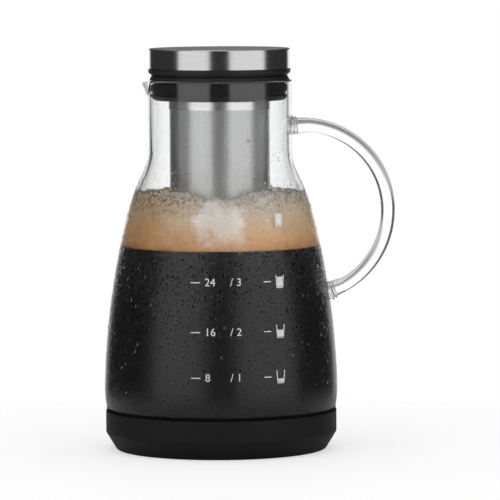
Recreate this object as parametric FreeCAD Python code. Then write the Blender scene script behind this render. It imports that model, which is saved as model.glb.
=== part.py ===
import FreeCAD, Part
import math
import os

from FreeCAD import Vector

# Cold brew coffee maker: a blown glass carafe in a silicone boot, with a lift-out filter and a lid.
# Millimetres. +Z is up, the carafe's axis is Z, the handle is on +X and the pouring spout on -X.
# The origin is the centre of the flat underside that the coffee maker stands on.

# Carafe glass, outside
neck_radius = 37.5              # straight part of the neck
rim_z = 192.0
hollow_round = 30.0             # inward sweep under the neck
shoulder_round = 87.5
shoulder_foot_z = 124.8         # where the shoulder runs out into the flank
flank_round = 405.0             # long, nearly straight flank
flank_radius = 60.7             # the flank's circle at its widest
flank_widest_z = 22.6
heel_top_z = 34.0               # where the flank turns in towards the bottom
heel_round = 55.0
corner_round = 16.0
glass_bottom_z = 4.0

# Carafe glass, wall
glass_wall = 2.2
glass_floor = 3.2

# Pouring spout, pulled out of the rim
spout_height = 8.7              # its outside leaves the neck this far under the rim
spout_reach = 3.9               # past the neck, at the rim
spout_round = 14.0              # its half round at the rim
spout_root_round = 9.5          # its half round where it starts, inside the neck's wall
spout_root_drop = 5.4           # how far under its start its cone begins
spout_dip = 1.8                 # the lip sinks this much from the rim to its tip

# Handle: a bent glass rod fused to the neck and the flank
handle_centre_offset = 5.3      # its bend's centre, outwards from the neck
handle_centre_z = 124.0
handle_bend_radius = 44.4       # to the middle of the rod
handle_rod_radius = 3.6
handle_root_flare = 1.3         # the rod thickens this much where it is fused on
handle_flare_length = 9.0
handle_root_depth = 3.5         # run of the rod into the glass before it is trimmed
handle_flare_sink = 0.1         # the flare's thin end is this much inside the rod

# Base boot
boot_inset = 0.65               # its upright side, inside the flank's widest
boot_foot_inset = 5.6           # flat underside, inside the upright side
boot_chamfer_z = 9.2
boot_lip_z = 20.4
boot_edge_round = 2.0
boot_lip_bevel = 0.35
grip_ring_insets = (9.5, 18.5)  # shallow grooves in the underside, inside its edge
grip_ring_width = 2.0
grip_ring_depth = 0.6

# Filter sleeve: soft stopper that seals the neck and carries the filter
sleeve_clearance = 0.2          # to the inside of the neck
seat_gap = 0.1                  # between parts that rest on each other
sleeve_plug_length = 10.5       # below the rim
sleeve_plug_round = 2.6
sleeve_groove_depth = 0.8
sleeve_low_groove_width = 2.0
sleeve_low_groove_rise = 2.9    # from the plug's bottom to the groove
sleeve_top_groove_width = 0.9
sleeve_top_groove_drop = 2.3    # from the rim to the groove
flange_top_inset = 2.3          # inside the outside of the neck
flange_bottom_inset = 1.2
flange_height = 2.3
flange_bevel = 0.6
sleeve_wall = 4.6               # round the bore that takes the lid's plug
sleeve_ledge_height = 3.5       # thick bottom that the filter hangs from

# Filter
sleeve_ledge_width = 4.0        # from the sleeve's bore in to the outside of the collar
filter_bottom_z = 40.0
sheet_thickness = 0.5
collar_drop = 4.5               # plain band below the sleeve
collar_overlap = 3.0            # length of the perforated tube inside the collar
collar_lip_height = 1.5
collar_lip_clearance = 0.3      # to the sleeve's bore
seam_width = 3.0                # lap of the rolled sheet
seam_step = 0.25
seam_angle = 259.0              # degrees round from +X
floor_recess = 2.0              # perforated floor above the filter's end
floor_dish = 1.5                # rise of the floor in the middle
floor_skirt = 3.0
end_ring_height = 4.0
end_ring_wall = 0.6
end_ring_lip = 1.6

# Lid
lid_ring_inset = 0.6            # black ring that shows under the cap, inside the outside of the neck
lid_ring_height = 2.3
lid_ring_bevel = 0.6
lid_step_inset = 1.3            # set back between the ring and the sleeve
lid_step_height = 0.8
lid_groove = 0.3                # shadow line between the ring and the cap
lid_cap_inset = 0.3             # inside the ring
lid_cap_height = 10.4
lid_cap_round = 0.8
lid_sheet = 0.7
snug_gap = 0.05                 # between parts of the lid that are pressed together
lid_plug_clearance = 0.8        # to the sleeve's bore
lid_plug_length = 8.4
lid_plug_wall = 2.0
lid_plug_floor = 2.0
lid_plug_bevel = 1.0
lid_plug_flange = 3.0           # its flange outwards under the ring
lid_plug_flange_height = 1.2
lid_wall_gap = 3.4              # between the upright wall that holds the cap and the cap's top
lid_wall = 1.6

# Lid gasket
gasket_height = 3.0
gasket_drop = 2.6               # from the sleeve's top to the gasket's groove
gasket_groove_depth = 0.9
gasket_clearance = 0.15         # to the sleeve's bore
gasket_bevel = 0.6

# Sizes that follow from the ones above
handle_centre_x = neck_radius + handle_centre_offset
boot_radius = flank_radius - boot_inset
boot_foot_radius = boot_radius - boot_foot_inset
spout_start_z = rim_z - spout_height
bore_radius = neck_radius - glass_wall
plug_radius = bore_radius - sleeve_clearance
sleeve_bore_radius = plug_radius - sleeve_wall
filter_radius = sleeve_bore_radius - sleeve_ledge_width
rim_round = 0.45 * glass_wall
sleeve_bottom_z = rim_z - sleeve_plug_length
sleeve_ledge_z = sleeve_bottom_z + sleeve_ledge_height
sleeve_top_z = rim_z + seat_gap + flange_height
tube_radius = filter_radius - sheet_thickness
collar_bottom_z = sleeve_bottom_z - collar_drop
lid_seat_z = sleeve_top_z + seat_gap
lid_plug_radius = sleeve_bore_radius - lid_plug_clearance
lid_ring_radius = neck_radius - lid_ring_inset
lid_ring_bottom_z = lid_seat_z + lid_step_height
lid_ring_top_z = lid_ring_bottom_z + lid_ring_height
lid_cap_radius = lid_ring_radius - lid_cap_inset
lid_cap_edge_z = lid_ring_top_z + lid_groove
lid_top_z = lid_cap_edge_z + lid_cap_height


def at(r, z):
    return Vector(r, 0, z)


def towards(start, end, distance):
    way = end.sub(start)
    way.normalize()
    return start.add(way.multiply(distance))


def arc(start, end, centre):
    """Arc round centre from start to end, the short way."""
    radius = start.distanceToPoint(centre)
    halfway = start.add(end).multiply(0.5)
    return Part.Arc(start, towards(centre, halfway, radius), end).toShape()


def line(start, end):
    return Part.LineSegment(start, end).toShape()


def turn(edges):
    """Solid of revolution round the carafe's axis."""
    return Part.Face(Part.Wire(edges)).revolve(Vector(0, 0, 0), Vector(0, 0, 1), 360)


def rounded_outline(corners):
    """Closed outline through corners given as (r, z), (r, z, rounding) or (r, z, bevel, "bevel")."""
    points = [at(corner[0], corner[1]) for corner in corners]
    rounds = [corner[2] if len(corner) > 2 else 0 for corner in corners]
    bevelled = [len(corner) > 3 for corner in corners]
    edges = []
    arcs = []
    for i, here in enumerate(points):
        before = points[i - 1]
        after = points[(i + 1) % len(points)]
        if not rounds[i]:
            arcs.append((here, here, None))
            continue
        if bevelled[i]:
            arcs.append((towards(here, before, rounds[i]), towards(here, after, rounds[i]), None))
            continue
        angle = before.sub(here).getAngle(after.sub(here))
        back = rounds[i] / math.tan(angle / 2)
        start = towards(here, before, back)
        end = towards(here, after, back)
        middle = start.add(end).multiply(0.5)
        centre = towards(here, middle, rounds[i] / math.sin(angle / 2))
        arcs.append((start, end, centre))
    for i, (start, end, centre) in enumerate(arcs):
        if centre is not None:
            edges.append(arc(start, end, centre))
        elif start != end:
            edges.append(line(start, end))
        after = arcs[(i + 1) % len(arcs)][0]
        edges.append(line(end, after))
    return edges


def turned_outline(corners):
    return turn(rounded_outline(corners))


def glass_arcs():
    """Centres of the side's arcs and the outside points where they meet, each arc tangent to the next."""
    flank_centre = at(flank_radius - flank_round, flank_widest_z)
    shoulder_foot = at(flank_x(shoulder_foot_z), shoulder_foot_z)
    shoulder_centre = towards(shoulder_foot, flank_centre, shoulder_round)
    hollow_x = neck_radius + hollow_round
    reach = hollow_round + shoulder_round
    hollow_rise = math.sqrt(reach ** 2 - (hollow_x - shoulder_centre.x) ** 2)
    hollow_centre = at(hollow_x, shoulder_centre.z + hollow_rise)
    heel_top = at(flank_x(heel_top_z), heel_top_z)
    heel_centre = towards(heel_top, flank_centre, heel_round)
    return flank_centre, shoulder_centre, hollow_centre, heel_centre, heel_top


def flank_x(z):
    """Outside radius of the flank at a height."""
    return flank_radius - flank_round + math.sqrt(flank_round ** 2 - (z - flank_widest_z) ** 2)


def glass_side(inset, bottom_z):
    """Edges of the carafe's side from the axis at the bottom to the top of the flared part.

    inset moves the side inwards by a wall, so the same arcs give the outside and the inside.
    """
    flank_centre, shoulder_centre, hollow_centre, heel_centre, heel_top = glass_arcs()
    corner = corner_round - inset
    corner_rise = heel_centre.z - bottom_z - corner
    corner_reach = math.sqrt((heel_round - inset - corner) ** 2 - corner_rise ** 2)
    corner_centre = at(heel_centre.x + corner_reach, bottom_z + corner)

    neck_foot = at(neck_radius - inset, hollow_centre.z)
    hollow_end = towards(hollow_centre, shoulder_centre, hollow_round + inset)
    shoulder_end = towards(flank_centre, shoulder_centre, flank_round - inset)
    heel_start = towards(flank_centre, heel_top, flank_round - inset)
    heel_end = towards(heel_centre, corner_centre, heel_round - inset)
    corner_end = at(corner_centre.x, bottom_z)
    return [
        line(at(0, bottom_z), corner_end),
        arc(corner_end, heel_end, corner_centre),
        arc(heel_end, heel_start, heel_centre),
        arc(heel_start, shoulder_end, flank_centre),
        arc(shoulder_end, hollow_end, shoulder_centre),
        arc(hollow_end, neck_foot, hollow_centre),
    ]


def glass_outside():
    """The carafe as if it were solid glass, up to its rim."""
    shoulder_of_rim = at(neck_radius, rim_z - rim_round)
    top_of_rim = at(neck_radius - rim_round, rim_z)
    edges = glass_side(0, glass_bottom_z)
    edges += [
        line(edges[-1].Vertexes[-1].Point, shoulder_of_rim),
        arc(shoulder_of_rim, top_of_rim, at(neck_radius - rim_round, rim_z - rim_round)),
        line(top_of_rim, at(0, rim_z)),
        line(at(0, rim_z), at(0, glass_bottom_z)),
    ]
    return turn(edges)


def glass_inside():
    """The space that the glass encloses, carried on past the rim."""
    floor_z = glass_bottom_z + glass_floor
    mouth_z = rim_z + glass_wall
    flare_start = at(bore_radius, rim_z - rim_round)
    flare_end = at(bore_radius + rim_round, rim_z)
    edges = glass_side(glass_wall, floor_z)
    edges += [
        line(edges[-1].Vertexes[-1].Point, flare_start),
        arc(flare_start, flare_end, at(bore_radius + rim_round, rim_z - rim_round)),
        line(flare_end, at(bore_radius + rim_round, mouth_z)),
        line(at(bore_radius + rim_round, mouth_z), at(0, mouth_z)),
        line(at(0, mouth_z), at(0, floor_z)),
    ]
    return turn(edges)


def spout_cone(inset, top_z):
    """Leaning cone whose far side runs from the neck out to the spout's tip."""
    slope = spout_reach / (rim_z - spout_start_z)
    root_z = spout_start_z - spout_root_drop
    widening = (spout_round - spout_root_round) / (rim_z - root_z)
    circles = []
    for z in (root_z, top_z):
        far_side = neck_radius + slope * (z - spout_start_z)
        radius = spout_root_round + widening * (z - root_z)
        circles.append(Part.Wire(Part.makeCircle(radius - inset, Vector(radius - far_side, 0, z))))
    return Part.makeLoft(circles, True, True)


def lip_trim():
    """Wedge that takes the dip out of the spout's lip."""
    tip = neck_radius + spout_reach
    wide = 2 * spout_round
    outline = [
        at(-neck_radius + rim_round, rim_z),
        at(-tip - spout_reach, rim_z - 2 * spout_dip),
        at(-tip - spout_reach, rim_z + spout_dip),
        at(-neck_radius + rim_round, rim_z + spout_dip),
    ]
    face = Part.Face(Part.makePolygon(outline + outline[:1]))
    face.translate(Vector(0, -wide, 0))
    return face.extrude(Vector(0, 2 * wide, 0))


def carafe_glass():
    spout = spout_cone(0, rim_z).cut(lip_trim())
    outside = glass_outside().fuse(spout)
    channel = spout_cone(glass_wall, rim_z + glass_wall)
    inside = glass_inside().fuse(channel)
    return outside.cut(inside)


def handle_angle(x):
    """Angle on the handle's bend, above its centre, where the rod's middle is at this x."""
    return math.acos((x - handle_centre_x) / handle_bend_radius)


def on_bend(angle):
    """Point on the middle of the rod."""
    return Vector(handle_centre_x + handle_bend_radius * math.cos(angle), 0,
                  handle_centre_z + handle_bend_radius * math.sin(angle))


def root_flare(face_angle, outward):
    """Cone that thickens the rod towards the glass, run on into the glass like the rod."""
    inner = on_bend(face_angle - outward * handle_root_depth / handle_bend_radius)
    outer = on_bend(face_angle + outward * handle_flare_length / handle_bend_radius)
    way = outer.sub(inner)
    return Part.makeCone(handle_rod_radius + handle_root_flare, handle_rod_radius - handle_flare_sink,
                         way.Length, inner, way)


def carafe_handle():
    low_x = flank_x(handle_centre_z - handle_bend_radius)
    top_face = handle_angle(neck_radius)
    low_face = -handle_angle(low_x)
    depth = handle_root_depth / handle_bend_radius
    rod = Part.makeTorus(handle_bend_radius, handle_rod_radius, Vector(0, 0, 0), Vector(0, 0, 1),
                         0, 360, math.degrees(top_face - low_face + 2 * depth))
    rod.rotate(Vector(0, 0, 0), Vector(1, 0, 0), 90)
    rod.rotate(Vector(0, 0, 0), Vector(0, 1, 0), -math.degrees(low_face - depth))
    rod.translate(Vector(handle_centre_x, 0, handle_centre_z))
    rod = rod.fuse([root_flare(top_face, -1), root_flare(low_face, 1)])
    return rod.cut(glass_outside())


def base_boot():
    boot = turned_outline([
        (0, 0),
        (boot_foot_radius, 0, boot_edge_round),
        (boot_radius, boot_chamfer_z, boot_edge_round),
        (boot_radius, boot_lip_z, boot_lip_bevel, "bevel"),
        (0, boot_lip_z),
    ])
    boot = boot.cut(glass_outside())
    for inset in grip_ring_insets:
        radius = boot_foot_radius - inset
        groove = turned_outline([
            (radius - grip_ring_width / 2, 0),
            (radius + grip_ring_width / 2, 0),
            (radius + grip_ring_width / 2, grip_ring_depth),
            (radius - grip_ring_width / 2, grip_ring_depth),
        ])
        boot = boot.cut(groove)
    return boot


def filter_sleeve():
    groove_radius = plug_radius - sleeve_groove_depth
    low_groove_z = sleeve_bottom_z + sleeve_low_groove_rise
    top_groove_z = rim_z - sleeve_top_groove_drop
    flange_bottom_z = rim_z + seat_gap
    return turned_outline([
        (filter_radius, sleeve_bottom_z),
        (plug_radius, sleeve_bottom_z, sleeve_plug_round),
        (plug_radius, low_groove_z),
        (groove_radius, low_groove_z),
        (groove_radius, low_groove_z + sleeve_low_groove_width),
        (plug_radius, low_groove_z + sleeve_low_groove_width),
        (plug_radius, top_groove_z),
        (groove_radius, top_groove_z),
        (groove_radius, top_groove_z + sleeve_top_groove_width),
        (plug_radius, top_groove_z + sleeve_top_groove_width),
        (plug_radius, flange_bottom_z),
        (neck_radius - flange_bottom_inset, flange_bottom_z),
        (neck_radius - flange_top_inset, sleeve_top_z, flange_bevel, "bevel"),
        (sleeve_bore_radius, sleeve_top_z),
        (sleeve_bore_radius, sleeve_ledge_z),
        (filter_radius, sleeve_ledge_z),
    ])


def filter_collar():
    """Plain steel band with a flange that hangs on the sleeve's ledge and a turned-up lip."""
    lip_radius = sleeve_bore_radius - collar_lip_clearance
    flange_z = sleeve_ledge_z + sheet_thickness
    return turned_outline([
        (tube_radius, collar_bottom_z),
        (filter_radius, collar_bottom_z),
        (filter_radius, sleeve_ledge_z),
        (lip_radius, sleeve_ledge_z),
        (lip_radius, sleeve_ledge_z + collar_lip_height),
        (lip_radius - sheet_thickness, sleeve_ledge_z + collar_lip_height),
        (lip_radius - sheet_thickness, flange_z),
        (tube_radius, flange_z),
    ])


def filter_mesh():
    """Rolled tube of perforated sheet, with the lap of its seam standing proud below the collar."""
    bottom_z = filter_bottom_z + end_ring_wall
    top_z = collar_bottom_z + collar_overlap
    tube = turned_outline([
        (tube_radius - sheet_thickness, bottom_z),
        (tube_radius, bottom_z),
        (tube_radius, top_z),
        (tube_radius - sheet_thickness, top_z),
    ])
    seam_bottom_z = filter_bottom_z + end_ring_height
    seam_length = collar_bottom_z - seam_bottom_z
    seam = Part.makeBox(seam_step + sheet_thickness, seam_width, seam_length,
                        Vector(tube_radius - sheet_thickness, -seam_width / 2, seam_bottom_z))
    seam.rotate(Vector(0, 0, 0), Vector(0, 0, 1), seam_angle)
    return tube.fuse(seam.cut(tube_core(bottom_z, top_z)))


def tube_core(bottom_z, top_z):
    inside = tube_radius - sheet_thickness
    return Part.makeCylinder(inside, top_z - bottom_z, Vector(0, 0, bottom_z))


def filter_floor():
    """Dished disc of perforated sheet with a skirt, inside the tube's lower end."""
    radius = tube_radius - sheet_thickness
    bottom_z = filter_bottom_z + end_ring_wall
    disc_z = bottom_z + floor_recess
    skirt = min(floor_skirt, floor_recess)
    dish_radius = (radius ** 2 + floor_dish ** 2) / (2 * floor_dish)
    dish_centre = at(0, disc_z + floor_dish - dish_radius)
    under_radius = radius - sheet_thickness
    under_edge_z = dish_centre.z + math.sqrt((dish_radius - sheet_thickness) ** 2 - under_radius ** 2)
    outside = at(radius, disc_z)
    inside = at(under_radius, under_edge_z)
    top = at(0, disc_z + floor_dish)
    under = at(0, top.z - sheet_thickness)
    return turn([
        arc(top, outside, dish_centre),
        line(outside, at(radius, disc_z - skirt)),
        line(at(radius, disc_z - skirt), at(under_radius, disc_z - skirt)),
        line(at(under_radius, disc_z - skirt), inside),
        arc(inside, under, dish_centre),
        line(under, top),
    ])


def filter_end_ring():
    """Channel crimped over the lower end of the tube."""
    outside = tube_radius + end_ring_wall
    seat_z = filter_bottom_z + end_ring_wall
    inside = tube_radius - sheet_thickness - end_ring_lip
    return turned_outline([
        (inside, filter_bottom_z),
        (outside, filter_bottom_z, end_ring_wall / 2, "bevel"),
        (outside, filter_bottom_z + end_ring_height),
        (tube_radius, filter_bottom_z + end_ring_height),
        (tube_radius, seat_z),
        (inside, seat_z),
    ])


def lid_cap():
    """Deep-drawn steel cap."""
    inside_radius = lid_cap_radius - lid_sheet
    inside_z = lid_top_z - lid_sheet
    return turned_outline([
        (0, lid_top_z),
        (lid_cap_radius, lid_top_z, lid_cap_round),
        (lid_cap_radius, lid_cap_edge_z),
        (inside_radius, lid_cap_edge_z),
        (inside_radius, inside_z),
        (0, inside_z),
    ])


def gasket_groove():
    """Bottom height, top height and floor radius of the groove that the gasket sits in."""
    top_z = sleeve_top_z - gasket_drop
    return top_z - gasket_height, top_z, lid_plug_radius - gasket_groove_depth


def lid_plug():
    """Hollow plug with a groove for the gasket and a flange that sits in the ring."""
    groove_bottom_z, groove_top_z, groove_radius = gasket_groove()
    plug_bottom_z = lid_seat_z - lid_plug_length
    plug_inside = lid_plug_radius - lid_plug_wall
    flange_top_z = lid_seat_z + lid_plug_flange_height
    return turned_outline([
        (0, plug_bottom_z),
        (lid_plug_radius, plug_bottom_z, lid_plug_bevel, "bevel"),
        (lid_plug_radius, groove_bottom_z),
        (groove_radius, groove_bottom_z),
        (groove_radius, groove_top_z),
        (lid_plug_radius, groove_top_z),
        (lid_plug_radius, lid_seat_z),
        (lid_plug_radius + lid_plug_flange, lid_seat_z),
        (lid_plug_radius + lid_plug_flange, flange_top_z),
        (plug_inside, flange_top_z),
        (plug_inside, plug_bottom_z + lid_plug_floor),
        (0, plug_bottom_z + lid_plug_floor),
    ])


def lid_ring():
    """Ring that shows under the cap, its set-back step, and the upright wall that the cap is pressed on."""
    step_radius = lid_ring_radius - lid_step_inset
    inside_radius = lid_plug_radius + lid_plug_flange
    wall_radius = lid_cap_radius - lid_sheet - snug_gap
    wall_top_z = lid_top_z - lid_sheet - lid_wall_gap
    shelf_z = lid_seat_z + lid_plug_flange_height
    return turned_outline([
        (inside_radius, lid_seat_z),
        (step_radius, lid_seat_z),
        (step_radius, lid_ring_bottom_z),
        (lid_ring_radius, lid_ring_bottom_z, lid_ring_bevel, "bevel"),
        (lid_ring_radius, lid_ring_top_z),
        (wall_radius, lid_ring_top_z),
        (wall_radius, wall_top_z),
        (wall_radius - lid_wall, wall_top_z),
        (wall_radius - lid_wall, lid_ring_top_z),
        (lid_plug_radius, lid_ring_top_z),
        (lid_plug_radius, shelf_z),
        (inside_radius, shelf_z),
    ])


def lid_gasket():
    bottom_z, top_z, inside_radius = gasket_groove()
    outside_radius = sleeve_bore_radius - gasket_clearance
    return turned_outline([
        (inside_radius, bottom_z),
        (outside_radius, bottom_z, gasket_bevel, "bevel"),
        (outside_radius, top_z, gasket_bevel, "bevel"),
        (inside_radius, top_z),
    ])


nodes = {
    "carafe_glass": carafe_glass,
    "carafe_handle": carafe_handle,
    "base_boot": base_boot,
    "filter_sleeve": filter_sleeve,
    "filter_collar": filter_collar,
    "filter_mesh": filter_mesh,
    "filter_floor": filter_floor,
    "filter_end_ring": filter_end_ring,
    "lid_cap": lid_cap,
    "lid_ring": lid_ring,
    "lid_plug": lid_plug,
    "lid_gasket": lid_gasket,
}

os.makedirs("parts", exist_ok=True)
for name, make in nodes.items():
    shape = make()
    solids = shape.Solids
    if len(solids) != 1 or not shape.isValid() or shape.Volume <= 0:
        raise ValueError(name + " is not one sound solid")
    solids[0].exportStep("parts/" + name + ".step")
    print(name, "volume", round(shape.Volume), "mm3")
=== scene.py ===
import math
import random

import bpy
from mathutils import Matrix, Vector


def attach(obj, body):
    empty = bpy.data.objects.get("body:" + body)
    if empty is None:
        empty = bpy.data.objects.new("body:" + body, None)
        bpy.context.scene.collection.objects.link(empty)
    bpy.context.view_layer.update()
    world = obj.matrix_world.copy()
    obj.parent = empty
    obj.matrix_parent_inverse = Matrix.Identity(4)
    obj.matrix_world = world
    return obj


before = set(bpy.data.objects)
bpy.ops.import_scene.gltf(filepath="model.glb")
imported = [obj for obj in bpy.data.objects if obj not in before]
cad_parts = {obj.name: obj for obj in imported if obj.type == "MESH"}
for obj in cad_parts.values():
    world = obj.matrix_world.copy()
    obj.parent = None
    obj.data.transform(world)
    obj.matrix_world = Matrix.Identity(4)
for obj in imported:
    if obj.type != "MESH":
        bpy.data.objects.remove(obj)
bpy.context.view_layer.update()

mm = 0.001
scene = bpy.context.scene
scene.view_settings.view_transform = "Standard"
print("frame loaded")


# Shader helpers

def newMaterial(name):
    mat = bpy.data.materials.new(name)
    mat.use_nodes = True
    return mat, mat.node_tree, mat.node_tree.nodes["Principled BSDF"]


def addNode(tree, kind, **settings):
    node = tree.nodes.new(kind)
    for key, value in settings.items():
        setattr(node, key, value)
    return node


def mathNode(tree, operation, first, second=None, third=None):
    node = addNode(tree, "ShaderNodeMath", operation=operation)
    for index, value in enumerate((first, second, third)):
        if value is None:
            continue
        if isinstance(value, (int, float)):
            node.inputs[index].default_value = value
        else:
            tree.links.new(value, node.inputs[index])
    return node.outputs[0]


# Each stop is a place from 0 to 1 with a grey or a colour.
def rampNode(tree, factor, stops):
    node = addNode(tree, "ShaderNodeValToRGB")
    ramp = node.color_ramp
    ramp.elements.remove(ramp.elements[1])
    for index, (position, colour) in enumerate(stops):
        element = ramp.elements.new(position) if index else ramp.elements[0]
        element.position = position
        element.color = (colour, colour, colour, 1) if isinstance(colour, (int, float)) else (*colour, 1)
    tree.links.new(factor, node.inputs[0])
    return node.outputs[0]


def mixNode(tree, factor, first, second):
    node = addNode(tree, "ShaderNodeMix", data_type="RGBA")
    tree.links.new(factor, node.inputs[0])
    for index, value in ((6, first), (7, second)):
        if isinstance(value, (int, float)):
            node.inputs[index].default_value = (value, value, value, 1)
        else:
            tree.links.new(value, node.inputs[index])
    return node.outputs[2]


def multiplied(tree, first, second):
    node = addNode(tree, "ShaderNodeMix", data_type="RGBA", blend_type="MULTIPLY")
    node.inputs[0].default_value = 1.0
    tree.links.new(first, node.inputs[6])
    tree.links.new(second, node.inputs[7])
    return node.outputs[2]


def noiseNode(tree, vector, scale, detail=4, roughness=0.55):
    node = addNode(tree, "ShaderNodeTexNoise")
    node.inputs["Scale"].default_value = scale
    node.inputs["Detail"].default_value = detail
    node.inputs["Roughness"].default_value = roughness
    tree.links.new(vector, node.inputs["Vector"])
    return node.outputs[0]


def cellNode(tree, vector, scale):
    node = addNode(tree, "ShaderNodeTexVoronoi")
    node.inputs["Scale"].default_value = scale
    tree.links.new(vector, node.inputs["Vector"])
    return node.outputs


def firstChannel(tree, colour):
    node = addNode(tree, "ShaderNodeSeparateColor")
    tree.links.new(colour, node.inputs[0])
    return node.outputs[0]


def axesOf(tree, vector):
    node = addNode(tree, "ShaderNodeSeparateXYZ")
    tree.links.new(vector, node.inputs[0])
    return node.outputs


def scaledCoords(tree, scale=(1, 1, 1)):
    coords = addNode(tree, "ShaderNodeTexCoord")
    mapping = addNode(tree, "ShaderNodeMapping")
    mapping.inputs["Scale"].default_value = scale
    tree.links.new(coords.outputs["Object"], mapping.inputs["Vector"])
    return mapping.outputs[0]


def squareSum(tree, first, second):
    return mathNode(tree, "ADD", mathNode(tree, "MULTIPLY", first, first),
                    mathNode(tree, "MULTIPLY", second, second))


# A value that a cloud shifts up and down by half the amount.
def stirred(tree, value, cloud, amount):
    return mathNode(tree, "ADD", value, mathNode(tree, "MULTIPLY_ADD", cloud, amount, -amount / 2))


# The angle round Z, from the front (-Y) towards +X.
def turnOf(tree, x, y):
    return mathNode(tree, "ARCTAN2", x, mathNode(tree, "MULTIPLY", y, -1.0))


# Object coordinates unrolled round Z: arc length, height and distance from the axis.
def roundCoords(tree, radius):
    coords = addNode(tree, "ShaderNodeTexCoord")
    x, y, z = axesOf(tree, coords.outputs["Object"])
    arc = mathNode(tree, "MULTIPLY", turnOf(tree, x, y), radius)
    across = mathNode(tree, "SQRT", squareSum(tree, x, y))
    return arc, z, across


def combined(tree, x, y, z):
    node = addNode(tree, "ShaderNodeCombineXYZ")
    for index, value in enumerate((x, y, z)):
        if isinstance(value, (int, float)):
            node.inputs[index].default_value = value
        else:
            tree.links.new(value, node.inputs[index])
    return node.outputs[0]


def bumpFrom(tree, shader, height, strength, distance):
    node = addNode(tree, "ShaderNodeBump")
    node.inputs["Strength"].default_value = strength
    node.inputs["Distance"].default_value = distance
    tree.links.new(height, node.inputs["Height"])
    tree.links.new(node.outputs[0], shader.inputs["Normal"])


def assign(piece, mat):
    piece.data.materials.clear()
    piece.data.materials.append(mat)
    for face in piece.data.polygons:
        face.material_index = 0


# Mesh helpers

def meshPiece(name, points, faces, mat, body, smooth=True):
    mesh = bpy.data.meshes.new(name)
    mesh.from_pydata(points, [], faces)
    mesh.update()
    mesh.polygons.foreach_set("use_smooth", [smooth] * len(mesh.polygons))
    mesh.materials.append(mat)
    piece = bpy.data.objects.new(name, mesh)
    scene.collection.objects.link(piece)
    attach(piece, body)


# Points and faces of a profile of (radius, z) turned round Z. A radius of 0 makes a pole.
def turnedMesh(profile, segments, closed=False):
    points = []
    rings = []
    for radius, z in profile:
        if radius < 1e-7:
            rings.append([len(points)])
            points.append((0, 0, z))
            continue
        rings.append(list(range(len(points), len(points) + segments)))
        for i in range(segments):
            angle = 2 * math.pi * i / segments
            points.append((radius * math.cos(angle), radius * math.sin(angle), z))
    faces = []
    pairs = list(zip(rings, rings[1:]))
    if closed:
        pairs.append((rings[-1], rings[0]))
    for low, high in pairs:
        for i in range(segments):
            j = (i + 1) % segments
            if len(low) == 1:
                faces.append((low[0], high[j], high[i]))
            elif len(high) == 1:
                faces.append((low[i], low[j], high[0]))
            else:
                faces.append((low[i], low[j], high[j], high[i]))
    return points, faces


# The carafe's profile, the same arcs as in the frame's glass

carafe = {
    "wall": 2.2 * mm, "sink": 0.5 * mm,     # what is poured in sinks a little into the glass: no gap shows
    "neckRadius": 37.5 * mm, "floorZ": 7.2 * mm, "segments": 160,
    "arcs": (                               # down to this z, then centre x, centre z, radius, side
        (142.62 * mm, 67.5 * mm, 156.29 * mm, 30.0 * mm, -1),
        (124.8 * mm, -37.08 * mm, 102.72 * mm, 87.5 * mm, 1),
        (34.0 * mm, -344.3 * mm, 22.6 * mm, 405.0 * mm, 1),
        (14.89 * mm, 5.56 * mm, 32.45 * mm, 55.0 * mm, 1),
        (4.0 * mm, 42.52 * mm, 20.0 * mm, 16.0 * mm, 1),
    ),
}


def glassRadius(z, inset=0.0):
    if z >= carafe["arcs"][0][2]:
        return carafe["neckRadius"] - inset
    for low, centreX, centreZ, radius, side in carafe["arcs"]:
        if z >= low:
            break
    reach = radius - side * inset
    return centreX + side * math.sqrt(max(reach ** 2 - (z - centreZ) ** 2, 0.0))


def wallProfile(low, high, steps):
    inset = carafe["wall"] - carafe["sink"]
    heights = [low + (high - low) * i / steps for i in range(steps + 1)]
    return [(glassRadius(z, inset), z) for z in heights]


# Glass

glassLook = {"ior": 1.47, "tint": (0.985, 0.992, 0.99), "rippleScale": 28.0, "ripple": (0.05, 0.8 * mm)}
fogLook = {
    "span": (20 * mm, 170 * mm),                                # the part of the outside that fogs
    "zones": ((0.0, 1.0), (0.104, 1.0), (0.112, 0.5), (0.13, 0.35), (0.15, 0.0)),       # z in metres, fog
    "zoneStir": 24 * mm, "cloudScale": 75.0, "roughness": 0.29,
    "haze": ((0.02, 0.0), (0.07, 0.003), (0.1, 0.01), (0.13, 0.03), (0.14, 0.0)),       # z in metres, milk
    "patch": (0.5 * mm, 119.5 * mm, 15 * mm, 13.5 * mm),        # x, z, half width, half height
    "patchStir": 2.4, "patchFade": ((0.1, 1.0), (0.5, 0.75), (1.0, 0.0)), "patchHaze": 0.42,
    "wet": ((0.03, 0.0), (0.1, 1.0), (0.13, 1.0), (0.142, 0.0)),                        # z in metres, beads
    "beads": ((380.0, 0.55), (800.0, 0.62)),                    # cells to a metre, size in the cell
    "beadSpread": 1.3, "drying": 0.3, "beadEdge": 0.05, "beadBump": (0.6, 0.7 * mm),
}


def glassShader(name):
    mat, tree, shader = newMaterial(name)
    shader.inputs["Transmission Weight"].default_value = 1.0
    shader.inputs["IOR"].default_value = glassLook["ior"]
    shader.inputs["Roughness"].default_value = 0.0
    shader.inputs["Base Color"].default_value = (*glassLook["tint"], 1)
    return mat, tree, shader


def clearGlass():
    mat, tree, shader = glassShader("clearGlass")
    ripple = noiseNode(tree, scaledCoords(tree), glassLook["rippleScale"], 2)
    bumpFrom(tree, shader, ripple, *glassLook["ripple"])
    return mat


# Cells of many sizes, each with a bead of water in it: how far inside its bead a point lies.
def beadNode(tree, vector, scale, share):
    cells = cellNode(tree, vector, scale)
    chance = mathNode(tree, "POWER", firstChannel(tree, cells["Color"]), fogLook["beadSpread"])
    return mathNode(tree, "SUBTRACT", mathNode(tree, "MULTIPLY", chance, share), cells["Distance"])


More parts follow.
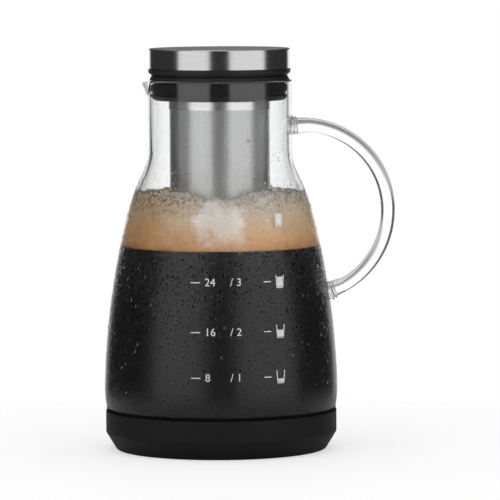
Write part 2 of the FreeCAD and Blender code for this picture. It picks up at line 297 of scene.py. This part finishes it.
# The milky patch on the front, ragged at its edge.
def patchNode(tree, x, y, z, cloud):
    middleX, middleZ, wide, high = fogLook["patch"]
    across = mathNode(tree, "MULTIPLY_ADD", x, 1 / wide, -middleX / wide)
    up = mathNode(tree, "MULTIPLY_ADD", z, 1 / high, -middleZ / high)
    off = stirred(tree, squareSum(tree, across, up), cloud, fogLook["patchStir"])
    front = rampNode(tree, y, ((0.0, 1.0), (0.001, 0.0)))
    return mathNode(tree, "MULTIPLY", rampNode(tree, off, fogLook["patchFade"]), front)


# Glass fogged on the outside, with clear beads that have run together in the fog.
def foggedGlass():
    mat, tree, shader = glassShader("foggedGlass")
    coords = scaledCoords(tree)
    x, y, z = axesOf(tree, coords)
    cloud = noiseNode(tree, coords, fogLook["cloudScale"], 4, 0.65)
    zone = rampNode(tree, stirred(tree, z, cloud, fogLook["zoneStir"]), fogLook["zones"])
    wet = rampNode(tree, z, fogLook["wet"])
    beads = None
    for scale, share in fogLook["beads"]:
        layer = beadNode(tree, coords, scale, share)
        beads = layer if beads is None else mathNode(tree, "MAXIMUM", beads, layer)
    drying = fogLook["drying"]
    beads = mathNode(tree, "SUBTRACT", beads, mathNode(tree, "MULTIPLY_ADD", wet, -drying, drying))
    dry = rampNode(tree, beads, ((0.0, 1.0), (fogLook["beadEdge"], 0.0)))
    fog = mathNode(tree, "MULTIPLY", zone, dry)
    tree.links.new(mathNode(tree, "MULTIPLY", fog, fogLook["roughness"]), shader.inputs["Roughness"])
    haze = mathNode(tree, "MULTIPLY", dry, rampNode(tree, z, fogLook["haze"]))
    patch = mathNode(tree, "MULTIPLY", patchNode(tree, x, y, z, cloud), fogLook["patchHaze"])
    clear = mathNode(tree, "SUBTRACT", 1.0, mathNode(tree, "ADD", haze, patch))
    tree.links.new(clear, shader.inputs["Transmission Weight"])
    bumpFrom(tree, shader, mathNode(tree, "MAXIMUM", beads, 0.0), *fogLook["beadBump"])
    return mat


# Silicone and plastic

rubberLook = {
    "boot": (0.0045, 0.55, 0.25), "seal": (0.014, 0.38, 0.12),         # tone, roughness, bump
    "plastic": (0.016, 0.42, 0.1),
    "grainScale": 1800.0, "grainHeight": 0.1 * mm, "grainRough": 0.08, "specular": 0.25,
    "wearScale": 35.0, "worn": (0.8, 0.8, 0.82), "fresh": (1.35, 1.35, 1.33),
}


def softBlack(name, shade, roughness, speckle):
    mat, tree, shader = newMaterial(name)
    coords = scaledCoords(tree)
    grain = noiseNode(tree, coords, rubberLook["grainScale"], 3)
    wear = noiseNode(tree, coords, rubberLook["wearScale"], 3)
    worn = [shade * v for v in rubberLook["worn"]]
    fresh = [shade * v for v in rubberLook["fresh"]]
    tree.links.new(rampNode(tree, wear, ((0.3, worn), (0.7, fresh))), shader.inputs["Base Color"])
    spread = rubberLook["grainRough"]
    rough = rampNode(tree, grain, ((0.3, roughness - spread), (0.7, roughness + spread)))
    tree.links.new(rough, shader.inputs["Roughness"])
    shader.inputs["Specular IOR Level"].default_value = rubberLook["specular"]
    bumpFrom(tree, shader, grain, speckle, rubberLook["grainHeight"])
    return mat


# Steel

steelLook = {"cap": (0.62, 0.15), "filter": (0.84, 0.23)}       # tone, roughness
brushLook = {
    "radius": 36.6 * mm, "drag": 0.02, "scale": 2600.0, "tones": (0.9, 1.08), "bump": (0.18, 0.06 * mm),
    "lineRough": 0.12, "cloudRough": 0.06, "baseRough": -0.08, "cloudScale": 22.0,
}
sheetLook = {
    "radius": 26.0 * mm, "pitch": 0.95 * mm, "columnStep": 0.866, "holeSize": 0.23, "holeEdge": 0.12,
    "holeShade": 0.4, "bump": (0.7, 0.12 * mm), "grainScale": 900.0, "grainTone": 0.82, "grainRough": 0.12,
}


# Steel brushed round its axis: fine lines that run level round the side and in rings on the top.
def brushedSteel(name, tone, roughness):
    mat, tree, shader = newMaterial(name)
    arc, z, across = roundCoords(tree, brushLook["radius"])
    dragged = combined(tree, mathNode(tree, "MULTIPLY", arc, brushLook["drag"]), z, across)
    lines = noiseNode(tree, dragged, brushLook["scale"], 2)
    cloud = noiseNode(tree, scaledCoords(tree), brushLook["cloudScale"], 2)
    dark, light = [min(tone * share, 1.0) for share in brushLook["tones"]]
    tree.links.new(rampNode(tree, lines, ((0.25, dark), (0.75, light))), shader.inputs["Base Color"])
    start = roughness + brushLook["baseRough"]
    rough = mathNode(tree, "MULTIPLY_ADD", lines, brushLook["lineRough"], start)
    rough = mathNode(tree, "MULTIPLY_ADD", cloud, brushLook["cloudRough"], rough)
    tree.links.new(rough, shader.inputs["Roughness"])
    shader.inputs["Metallic"].default_value = 1.0
    bumpFrom(tree, shader, lines, *brushLook["bump"])
    return mat


# Rolled sheet with columns of fine etched holes, every other column set off by half a pitch. The holes are
# not cut: each is a dark spot of painted shade in the base colour, and bumped.
def perforatedSteel(name, tone, roughness):
    mat, tree, shader = newMaterial(name)
    pitch = sheetLook["pitch"]
    arc, z, across = roundCoords(tree, sheetLook["radius"])
    column = mathNode(tree, "DIVIDE", arc, pitch * sheetLook["columnStep"])
    odd = mathNode(tree, "FLOORED_MODULO", mathNode(tree, "FLOOR", column), 2.0)
    row = mathNode(tree, "ADD", mathNode(tree, "DIVIDE", z, pitch), mathNode(tree, "MULTIPLY", odd, 0.5))
    dx = mathNode(tree, "SUBTRACT", mathNode(tree, "FRACT", column), 0.5)
    dy = mathNode(tree, "SUBTRACT", mathNode(tree, "FRACT", row), 0.5)
    distance = mathNode(tree, "SQRT", squareSum(tree, dx, dy))
    size = sheetLook["holeSize"]
    hole = rampNode(tree, distance, ((size, 0.0), (size + sheetLook["holeEdge"], 1.0)))
    grain = noiseNode(tree, combined(tree, arc, z, 0.0), sheetLook["grainScale"], 3)
    sheet = rampNode(tree, grain, ((0.25, tone * sheetLook["grainTone"]), (0.75, tone)))
    # Painted shade: the holes' base colour is darkened to this share of the sheet's
    dark = sheetLook["holeShade"]
    shade = mathNode(tree, "MULTIPLY", sheet, mathNode(tree, "MULTIPLY_ADD", hole, 1.0 - dark, dark))
    tree.links.new(shade, shader.inputs["Base Color"])
    rough = mathNode(tree, "MULTIPLY_ADD", grain, sheetLook["grainRough"], roughness)
    tree.links.new(rough, shader.inputs["Roughness"])
    shader.inputs["Metallic"].default_value = 1.0
    bumpFrom(tree, shader, hole, *sheetLook["bump"])
    return mat


materials = {
    "clearGlass": clearGlass(),
    "foggedGlass": foggedGlass(),
    "bootSilicone": softBlack("bootSilicone", *rubberLook["boot"]),
    "sealSilicone": softBlack("sealSilicone", *rubberLook["seal"]),
    "lidPlastic": softBlack("lidPlastic", *rubberLook["plastic"]),
    "capSteel": brushedSteel("capSteel", *steelLook["cap"]),
    "collarSteel": brushedSteel("collarSteel", *steelLook["filter"]),
    "filterSteel": perforatedSteel("perforatedSteel", *steelLook["filter"]),
}
finishes = {
    "carafe_glass": "clearGlass",
    "carafe_handle": "clearGlass",
    "base_boot": "bootSilicone",
    "filter_sleeve": "sealSilicone",
    "filter_collar": "collarSteel",
    "filter_mesh": "filterSteel",
    "filter_floor": "filterSteel",
    "filter_end_ring": "collarSteel",
    "lid_cap": "capSteel",
    "lid_ring": "lidPlastic",
    "lid_plug": "lidPlastic",
    "lid_gasket": "sealSilicone",
}
for node, finish in finishes.items():
    assign(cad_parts[node], materials[finish])


# The fog is on the outside of the carafe only.
def fogOutside(piece):
    low, high = fogLook["span"]
    piece.data.materials.append(materials["foggedGlass"])
    for face in piece.data.polygons:
        middle = piece.matrix_world @ face.center
        normal = piece.matrix_world.to_3x3() @ face.normal
        outwards = normal.x * middle.x + normal.y * middle.y
        if outwards > 0 and low < middle.z < high:
            face.material_index = 1


fogOutside(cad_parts["carafe_glass"])
print("finishes on", len(finishes), "nodes")


# Beads of melted glass round the handle's two roots

welds = {
    "roots": ((37.5, 168.1, 0.993, 0.119), (56.9, 81.8, 0.95, 0.312)),      # x, z, way out along the rod
    "beads": ((0.55, 4.35, 0.6), (2.2, 4.1, 0.42)),         # how far out, radius and thickness, in mm
    "wander": 0.12, "swell": 0.2, "waves": (3, 5), "steps": 56, "sides": 10, "seed": 11,
}


def makeWelds():
    rand = random.Random(welds["seed"])
    steps, sides = welds["steps"], welds["sides"]
    wanderWaves, swellWaves = welds["waves"]
    points = []
    faces = []
    for rootX, rootZ, outX, outZ in welds["roots"]:
        for reach, radius, thick in welds["beads"]:
            centre = Vector((rootX + outX * reach, 0, rootZ + outZ * reach)) * mm
            along = Vector((outX, 0, outZ))
            upwards = Vector((-outZ, 0, outX))
            start = rand.uniform(0, 6)
            first = len(points)
            for i in range(steps):
                turn = 2 * math.pi * i / steps
                across = upwards * math.cos(turn) + Vector((0, 1, 0)) * math.sin(turn)
                shift = welds["wander"] * math.sin(wanderWaves * turn + start) * mm
                fat = thick * (1 + welds["swell"] * math.sin(swellWaves * turn + start)) * mm
                for k in range(sides):
                    lap = 2 * math.pi * k / sides
                    points.append(centre + across * (radius * mm + fat * math.cos(lap))
                                  + along * (shift + fat * math.sin(lap)))
            for i in range(steps):
                here = first + i * sides
                there = first + (i + 1) % steps * sides
                for k in range(sides):
                    m = (k + 1) % sides
                    faces.append((here + k, here + m, there + m, there + k))
    meshPiece("handle_welds", points, faces, materials["clearGlass"], "carafe")


makeWelds()
print("handle welds laid")


# Coffee, held against the inside of the wall

coffee = {
    "level": 106.0 * mm, "steps": 60, "colour": (0.0085, 0.0072, 0.007), "shades": (0.7, 1.5),
    "cloudScale": 30.0, "roughness": 0.3, "ior": 1.1,
}


def coffeeMaterial():
    mat, tree, shader = newMaterial("blackCoffee")
    cloud = noiseNode(tree, scaledCoords(tree), coffee["cloudScale"], 3)
    low, high = [[v * shade for v in coffee["colour"]] for shade in coffee["shades"]]
    tree.links.new(rampNode(tree, cloud, ((0.3, low), (0.7, high))), shader.inputs["Base Color"])
    shader.inputs["Roughness"].default_value = coffee["roughness"]
    shader.inputs["IOR"].default_value = coffee["ior"]
    return mat


def makeCoffee():
    bottom = carafe["floorZ"] - carafe["sink"]
    profile = [(0, bottom)] + wallProfile(bottom, coffee["level"], coffee["steps"]) + [(0, coffee["level"])]
    points, faces = turnedMesh(profile, carafe["segments"])
    meshPiece("coffee_fill", points, faces, coffeeMaterial(), "carafe")


# Foam on the coffee

foam = {
    "top": 134.5 * mm, "steps": 24, "segments": 320,
    "opening": 26.9 * mm,                                           # the filter stands in it
    "shares": (0.06, 0.2, 0.5, 0.8, 0.94, 1.0), "sag": 1.4 * mm,    # from the wall to the opening
    "dip": 3.2 * mm, "dipWidth": 0.12, "froth": 0.12 * mm, "waves": 7, "turns": (5, 40), "seed": 3,
}
foamLook = {
    "byHeight": ((0.0, (0.78, 0.42, 0.17)), (0.12, (0.92, 0.58, 0.30)), (0.35, (0.96, 0.68, 0.41)),
                 (0.6, (0.90, 0.73, 0.53)), (0.8, (0.80, 0.71, 0.61)), (1.0, (0.74, 0.69, 0.62))),
    "shadeBySide": ((0.0, (0.52, 0.44, 0.32)), (0.2, (0.70, 0.59, 0.44)), (0.45, (0.96, 0.95, 0.93)),
               (0.75, 1.0), (1.0, (0.68, 0.60, 0.48))),
    "width": 110.0 * mm, "cloudScale": 55.0, "heightStir": 0.5, "shadeSideStir": 0.3,
    "fleckScale": 850.0, "flecks": ((0.15, (0.45, 0.36, 0.28)), (0.5, 1.0), (0.9, 1.0), (1.0, 1.35)),
    "fleckReach": ((0.5, 0.12), (0.85, 0.9)), "fleckRise": 0.2, "fleckSide": -0.35,
    "roughness": 0.75, "subsurface": 0.1, "subsurfaceRadius": (2.0 * mm, 1.2 * mm, 0.6 * mm),
    "bubbleScale": 900.0, "bump": (0.4, 0.3 * mm),
}


# Brown at the coffee, tan above it and greyer at the top, darker at the left and right edges from painted
# shade, with fine bubbles, and flecks in its upper part.
def foamMaterial():
    mat, tree, shader = newMaterial("coffeeFoam")
    coords = addNode(tree, "ShaderNodeTexCoord").outputs["Object"]
    x, y, z = axesOf(tree, coords)
    cloud = noiseNode(tree, scaledCoords(tree, (1, 1, 1.6)), foamLook["cloudScale"], 5, 0.6)
    deep = foam["top"] - coffee["level"]
    height = mathNode(tree, "MULTIPLY_ADD", z, 1 / deep, -coffee["level"] / deep)
    height = stirred(tree, height, cloud, foamLook["heightStir"])
    # Painted shade: the foam's colour darkens towards its left and right edges
    side = mathNode(tree, "MULTIPLY_ADD", x, 1 / foamLook["width"], 0.5)
    side = rampNode(tree, stirred(tree, side, cloud, foamLook["shadeSideStir"]), foamLook["shadeBySide"])
    fleck = rampNode(tree, firstChannel(tree, cellNode(tree, coords, foamLook["fleckScale"])["Color"]),
                     foamLook["flecks"])
    risen = mathNode(tree, "ADD", height, foamLook["fleckRise"])
    top = rampNode(tree, mathNode(tree, "MULTIPLY_ADD", side, foamLook["fleckSide"], risen),
                   foamLook["fleckReach"])
    shaded = multiplied(tree, rampNode(tree, height, foamLook["byHeight"]), side)
    tree.links.new(multiplied(tree, shaded, mixNode(tree, top, 1.0, fleck)), shader.inputs["Base Color"])
    shader.inputs["Roughness"].default_value = foamLook["roughness"]
    shader.inputs["Subsurface Weight"].default_value = foamLook["subsurface"]
    shader.inputs["Subsurface Radius"].default_value = foamLook["subsurfaceRadius"]
    bumpFrom(tree, shader, cellNode(tree, coords, foamLook["bubbleScale"])["Distance"], *foamLook["bump"])
    return mat


def foamProfile(top):
    profile = wallProfile(coffee["level"], top, foam["steps"])
    edge = profile[-1][0]
    for share in foam["shares"]:
        sag = foam["sag"] * math.sin(math.pi * share)
        profile.append((edge + (foam["opening"] - edge) * share, top - sag))
    profile.append((foam["opening"], coffee["level"]))
    return profile


# The foam stands uneven at the wall: lowest in the middle of the front.
def makeFoam():
    rand = random.Random(foam["seed"])
    waves = [(rand.uniform(*foam["turns"]), rand.uniform(0, 6.3)) for i in range(foam["waves"])]
    segments = foam["segments"]
    points = []
    faces = []
    rings = 0
    for i in range(segments):
        angle = 2 * math.pi * i / segments
        front = math.cos(angle + math.pi / 2)
        dip = foam["dip"] * math.exp(-((1 - front) / foam["dipWidth"]) ** 2)
        froth = foam["froth"] * sum(math.sin(round(turns) * angle + start) for turns, start in waves)
        profile = foamProfile(foam["top"] - dip + froth)
        rings = len(profile)
        points += [(radius * math.cos(angle), radius * math.sin(angle), z) for radius, z in profile]
    for i in range(segments):
        j = (i + 1) % segments
        for k in range(rings):
            m = (k + 1) % rings
            faces.append((i * rings + k, j * rings + k, j * rings + m, i * rings + m))
    meshPiece("coffee_foam", points, faces, foamMaterial(), "carafe")


# A near-black ring where the glass turns in behind the boot's lip: painted shade for the shadowed gap
# there, not a part of the carafe

gapShade = {
    "span": (20.0 * mm, 22.3 * mm), "into": 0.3 * mm, "proud": (0.12 * mm, 0.1 * mm), "bevel": 0.3 * mm,
    "tones": (0.0015, 0.003), "shadeMottleScale": 400.0, "roughness": 0.9, "specular": 0.1,
}


def makeGapShade():
    mat, tree, shader = newMaterial("paintedGapShade")
    shadeMottle = noiseNode(tree, scaledCoords(tree), gapShade["shadeMottleScale"], 2)
    # Painted shade: the ring's near-black tones, mottled a little, stand for the shadowed gap
    dark, light = gapShade["tones"]
    tree.links.new(rampNode(tree, shadeMottle, ((0.3, dark), (0.7, light))), shader.inputs["Base Color"])
    shader.inputs["Roughness"].default_value = gapShade["roughness"]
    shader.inputs["Specular IOR Level"].default_value = gapShade["specular"]
    low, high = gapShade["span"]
    lowProud, highProud = gapShade["proud"]
    profile = [(glassRadius(low) - gapShade["into"], low), (glassRadius(low) + lowProud, low),
               (glassRadius(high) + highProud, high - gapShade["bevel"]),
               (glassRadius(high) - gapShade["into"], high)]
    points, faces = turnedMesh(profile, carafe["segments"], closed=True)
    meshPiece("boot_gap_shade", points, faces, mat, "carafe")


makeCoffee()
makeFoam()
makeGapShade()
print("coffee and foam poured")


# Fill marks, printed on the front of the glass

marks = {
    "proud": 0.06 * mm, "stroke": 0.5 * mm, "cut": 1.0 * mm,
    "rows": ((90.8, 0.8), (65.7, 0.55), (42.6, 0.3), (121.6, 0.95)),    # height in mm, tumbler's share
    "words": (("24", "/", "3"), ("16", "/", "2"), ("8", "/", "1"), ()),
    "wordsX": (-7.8, 5.2, 8.4), "textSize": 5.6 * mm, "dashes": ((-15.0, -10.2), (22.9, 26.9)),
    "cupX": 32.3, "cupWide": 4.6 * mm, "cupHigh": 6.4 * mm, "cupFoot": 0.38, "cupBand": 0.68,
    "chalkScale": 700.0, "tones": (0.5, 0.82), "roughness": 0.6,
}


def printMaterial():
    mat, tree, shader = newMaterial("scalePrint")
    chalk = noiseNode(tree, scaledCoords(tree), marks["chalkScale"], 3)
    dark, light = marks["tones"]
    tree.links.new(rampNode(tree, chalk, ((0.25, dark), (0.7, light))), shader.inputs["Base Color"])
    shader.inputs["Roughness"].default_value = marks["roughness"]
    return mat


# A point x along and z up on the front of the glass.
def wrapped(x, z):
    radius = glassRadius(z) + marks["proud"]
    angle = x / radius
    return (radius * math.sin(angle), -radius * math.cos(angle), z)


def flatText(words, size):
    curve = bpy.data.curves.new("markText", "FONT")
    curve.body = words
    curve.size = size
    curve.align_y = "CENTER"
    curve.resolution_u = 3
    holder = bpy.data.objects.new("markText", curve)
    scene.collection.objects.link(holder)
    mesh = bpy.data.meshes.new_from_object(holder.evaluated_get(bpy.context.evaluated_depsgraph_get()))
    points = [(v.co.x, v.co.y) for v in mesh.vertices]
    faces = [tuple(p.vertices) for p in mesh.polygons]
    bpy.data.objects.remove(holder)
    bpy.data.curves.remove(curve)
    return points, faces


# A flat ribbon along an outline of (x, y) points, cut fine enough to follow the glass.
def stroke(points, faces, outline, width):
    path = []
    for start, end in zip(outline, outline[1:]):
        steps = max(1, int(math.dist(start, end) / marks["cut"]))
        path += [(start[0] + (end[0] - start[0]) * i / steps, start[1] + (end[1] - start[1]) * i / steps)
                 for i in range(steps)]
    path.append(outline[-1])
    first = len(points)
    for i, here in enumerate(path):
        before = path[max(i - 1, 0)]
        after = path[min(i + 1, len(path) - 1)]
        way = Vector((after[0] - before[0], after[1] - before[1])).normalized() * width / 2
        points.append((here[0] - way.y, here[1] + way.x))
        points.append((here[0] + way.y, here[1] - way.x))
        if i:
            k = first + 2 * i
            faces.append((k - 2, k - 1, k + 1, k))


# A plain tumbler outline, filled to a share of its height.
def tumbler(points, faces, x, y, share):
    wide, high, foot = marks["cupWide"], marks["cupHigh"], marks["cupFoot"]
    bottom, top = y - high / 2, y + high / 2
    stroke(points, faces, [(x - wide / 2, top), (x - wide * foot, bottom), (x + wide * foot, bottom),
                           (x + wide / 2, top)], marks["stroke"])
    level = bottom + high * share
    lean = wide * (foot + (0.5 - foot) * share)
    stroke(points, faces, [(x - lean, level), (x + lean, level)], marks["stroke"])
    stroke(points, faces, [(x, bottom + marks["stroke"]), (x, level)], wide * marks["cupBand"])


def makeMarks():
    points = []
    faces = []
    for (z, share), words in zip(marks["rows"], marks["words"]):
        flatPoints = []
        flatFaces = []
        for start, end in marks["dashes"]:
            stroke(flatPoints, flatFaces, [(start * mm, 0), (end * mm, 0)], marks["stroke"])
        tumbler(flatPoints, flatFaces, marks["cupX"] * mm, 0, share)
        for word, left in zip(words, marks["wordsX"]):
            textPoints, textFaces = flatText(word, marks["textSize"])
            first = len(flatPoints)
            flatPoints += [(x + left * mm, y) for x, y in textPoints]
            flatFaces += [tuple(first + v for v in face) for face in textFaces]
        first = len(points)
        points += [wrapped(x, z * mm + y) for x, y in flatPoints]
        faces += [tuple(first + v for v in face) for face in flatFaces]
    meshPiece("fill_marks", points, faces, printMaterial(), "carafe", smooth=False)


makeMarks()
print("fill marks printed")


# Condensation: small flattened drops on the outside of the glass

drops = {
    "count": 1300, "seed": 7, "around": 8, "lowZ": 30 * mm, "highZ": 137 * mm, "strayZ": 170 * mm,
    "strays": 0.03, "climb": 0.8, "small": 0.16 * mm, "large": 0.9 * mm, "rarity": 5, "stretch": 1.35,
    "sunk": 0.06, "rings": ((1.0, 0.0), (0.72, 0.34)), "crown": 0.48,       # shares of the drop's size
    "ior": 1.33, "roughness": 0.03, "tintScale": 300.0, "tints": (0.93, 1.0),
}


def waterMaterial():
    mat, tree, shader = newMaterial("waterDrops")
    shader.inputs["Transmission Weight"].default_value = 1.0
    shader.inputs["IOR"].default_value = drops["ior"]
    shader.inputs["Roughness"].default_value = drops["roughness"]
    tint = noiseNode(tree, scaledCoords(tree), drops["tintScale"], 2)
    dark, light = drops["tints"]
    tree.links.new(rampNode(tree, tint, ((0.3, dark), (0.7, light))), shader.inputs["Base Color"])
    return mat


def makeDrops():
    rand = random.Random(drops["seed"])
    points = []
    faces = []
    around = drops["around"]
    for drop in range(drops["count"]):
        high = drops["strayZ"] if rand.random() < drops["strays"] else drops["highZ"]
        z = drops["lowZ"] + (high - drops["lowZ"]) * rand.random() ** drops["climb"]
        angle = rand.uniform(-math.pi, math.pi)
        size = drops["small"] + (drops["large"] - drops["small"]) * rand.random() ** drops["rarity"]
        stretch = rand.uniform(1.0, drops["stretch"])
        radius = glassRadius(z)
        lean = math.atan2(glassRadius(z + mm) - glassRadius(z - mm), 2 * mm)
        out = Vector((math.sin(angle) * math.cos(lean), -math.cos(angle) * math.cos(lean), -math.sin(lean)))
        side = Vector((math.cos(angle), math.sin(angle), 0))
        up = out.cross(side) * -1
        centre = Vector((radius * math.sin(angle), -radius * math.cos(angle), z))
        centre -= out * size * drops["sunk"]
        first = len(points)
        for reach, rise in drops["rings"]:
            for i in range(around):
                turn = 2 * math.pi * i / around
                points.append(centre + side * (math.cos(turn) * size * reach)
                              + up * (math.sin(turn) * size * reach * stretch) + out * (size * rise))
        points.append(centre + out * (size * drops["crown"]))
        for i in range(around):
            j = (i + 1) % around
            faces.append((first + i, first + j, first + around + j, first + around + i))
            faces.append((first + around + i, first + around + j, first + 2 * around))
        faces.append(tuple(first + i for i in reversed(range(around))))
    meshPiece("condensation", points, faces, waterMaterial(), "carafe")


makeDrops()
print("condensation added")


# Studio: floor, world, light and camera

floorLook = {"radius": 0.24, "tone": 0.45, "roughness": 0.6, "glow": 0.56, "mirrored": 0.1, "through": 0.35}


# The floor glows white to the camera, and less in a reflection or through glass.
def makeFloor():
    points, faces = turnedMesh([(0, 0), (floorLook["radius"], 0)], 96)
    mesh = bpy.data.meshes.new("floor")
    mesh.from_pydata(points, [], faces)
    floor = bpy.data.objects.new("floor", mesh)
    scene.collection.objects.link(floor)
    mat, tree, shader = newMaterial("paleFloor")
    shader.inputs["Base Color"].default_value = (floorLook["tone"],) * 3 + (1,)
    shader.inputs["Roughness"].default_value = floorLook["roughness"]
    path = addNode(tree, "ShaderNodeLightPath")
    mirrored = mathNode(tree, "MULTIPLY", path.outputs["Is Glossy Ray"], floorLook["mirrored"])
    through = mathNode(tree, "MULTIPLY", path.outputs["Is Transmission Ray"], floorLook["through"])
    seen = mathNode(tree, "MAXIMUM", mirrored, through)
    seen = mathNode(tree, "MAXIMUM", path.outputs["Is Camera Ray"], seen)
    shader.inputs["Emission Color"].default_value = (1, 1, 1, 1)
    tree.links.new(mathNode(tree, "MULTIPLY", seen, floorLook["glow"]), shader.inputs["Emission Strength"])
    mesh.materials.append(mat)


sky = {
    "ambient": 1.0, "bright": 1.08, "dark": 0.04, "back": 1.12, "roof": 0.15, "overhead": 0.35,
    "table": 0.22, "sides": 0.6, "below": 0.35,
    "bands": (                      # degrees from the camera side round to +X, and what is there
        (-180, "back"), (-160, "back"), (-151, "dark"), (-73, "dark"), (-68, "bright"), (-18, "bright"),
        (-13, "dark"), (14, "dark"), (19, "bright"), (77, "bright"), (82, "dark"), (146, "dark"),
        (155, "back"), (180, "back"),
    ),
    "horizon": ((0.0, 0.0), (0.03, 1.0)), "top": ((0.42, 0.0), (0.7, 1.0)),         # height, 0 to 1
    "low": (0.3, 0.41), "tableEdge": ((0.17, 0.0), (0.3, 0.3), (0.4, 1.0)),         # with 0.5 as level
    "behind": ((0.0, 1.0), (0.05, 1.0), (0.11, 0.0), (0.89, 0.0), (0.95, 1.0), (1.0, 1.0)),
}


# The camera sees plain white, and matt surfaces are lit evenly all round. A reflection shows two wide soft
# lights beside the camera between dark flags, with the backdrop only below the horizon, and it's dimmer
# overhead and low down. Glass shows the same lights with the whole backdrop, and under them a grey table.
def makeWorld():
    world = bpy.data.worlds.new("studioWorld")
    scene.world = world
    world.use_nodes = True
    tree = world.node_tree
    x, y, z = axesOf(tree, addNode(tree, "ShaderNodeTexCoord").outputs["Generated"])
    share = mathNode(tree, "MULTIPLY_ADD", turnOf(tree, x, y), 1 / (2 * math.pi), 0.5)
    layers = []
    for behind in ("back", "roof"):
        stops = [(angle / 360 + 0.5, sky[behind if kind == "back" else kind])
                 for angle, kind in sky["bands"]]
        layers.append(rampNode(tree, share, stops))
    withBack, withRoof = layers
    fromLevel = mathNode(tree, "ADD", z, 0.5)
    lowest, lifted = sky["low"]
    dimmed = rampNode(tree, fromLevel, ((lowest, sky["below"]), (lifted, 1.0)))
    mirrored = mixNode(tree, rampNode(tree, z, sky["horizon"]), withBack, withRoof)
    mirrored = mixNode(tree, rampNode(tree, z, sky["top"]), mirrored, sky["overhead"])
    mirrored = multiplied(tree, mirrored, dimmed)
    under = mixNode(tree, rampNode(tree, share, sky["behind"]), sky["sides"], sky["table"])
    through = mixNode(tree, rampNode(tree, fromLevel, sky["tableEdge"]), under, withBack)
    path = addNode(tree, "ShaderNodeLightPath")
    light = mixNode(tree, path.outputs["Is Transmission Ray"], mirrored, through)
    bounced = mathNode(tree, "MINIMUM", path.outputs["Diffuse Depth"], 1.0)
    light = mixNode(tree, bounced, light, sky["ambient"])
    light = mixNode(tree, path.outputs["Is Camera Ray"], light, 1.0)
    tree.links.new(light, tree.nodes["Background"].inputs[0])


topLight = {"power": 3.0, "size": (1.2, 0.9), "place": (-0.2, -0.5, 1.5), "aim": (0, 0, 0.1)}


def makeTopLight():
    data = bpy.data.lights.new("topLight", "AREA")
    data.shape = "RECTANGLE"
    data.size, data.size_y = topLight["size"]
    data.energy = topLight["power"]
    lamp = bpy.data.objects.new("topLight", data)
    lamp.location = topLight["place"]
    lamp.rotation_euler = (Vector(topLight["aim"]) - lamp.location).to_track_quat("-Z", "Y").to_euler()
    scene.collection.objects.link(lamp)


shot = {
    "x": 15.4 * mm, "y": -2.218, "z": 270 * mm, "aimZ": 103.3 * mm,
    "lens": 308.0, "sensor": 36.0, "roll": 0.3,
}


def makeCamera():
    data = bpy.data.cameras.new("camera")
    data.lens = shot["lens"]
    data.sensor_width = shot["sensor"]
    data.clip_start = 0.05
    data.clip_end = 20.0
    camera = bpy.data.objects.new("camera", data)
    camera.location = (shot["x"], shot["y"], shot["z"])
    aim = Vector((shot["x"], 0, shot["aimZ"]))
    camera.rotation_euler = (aim - camera.location).to_track_quat("-Z", "Y").to_euler()
    camera.rotation_euler.rotate_axis("Z", -math.radians(shot["roll"]))
    scene.collection.objects.link(camera)
    scene.camera = camera


makeFloor()
makeWorld()
makeTopLight()
makeCamera()
print("studio ready")
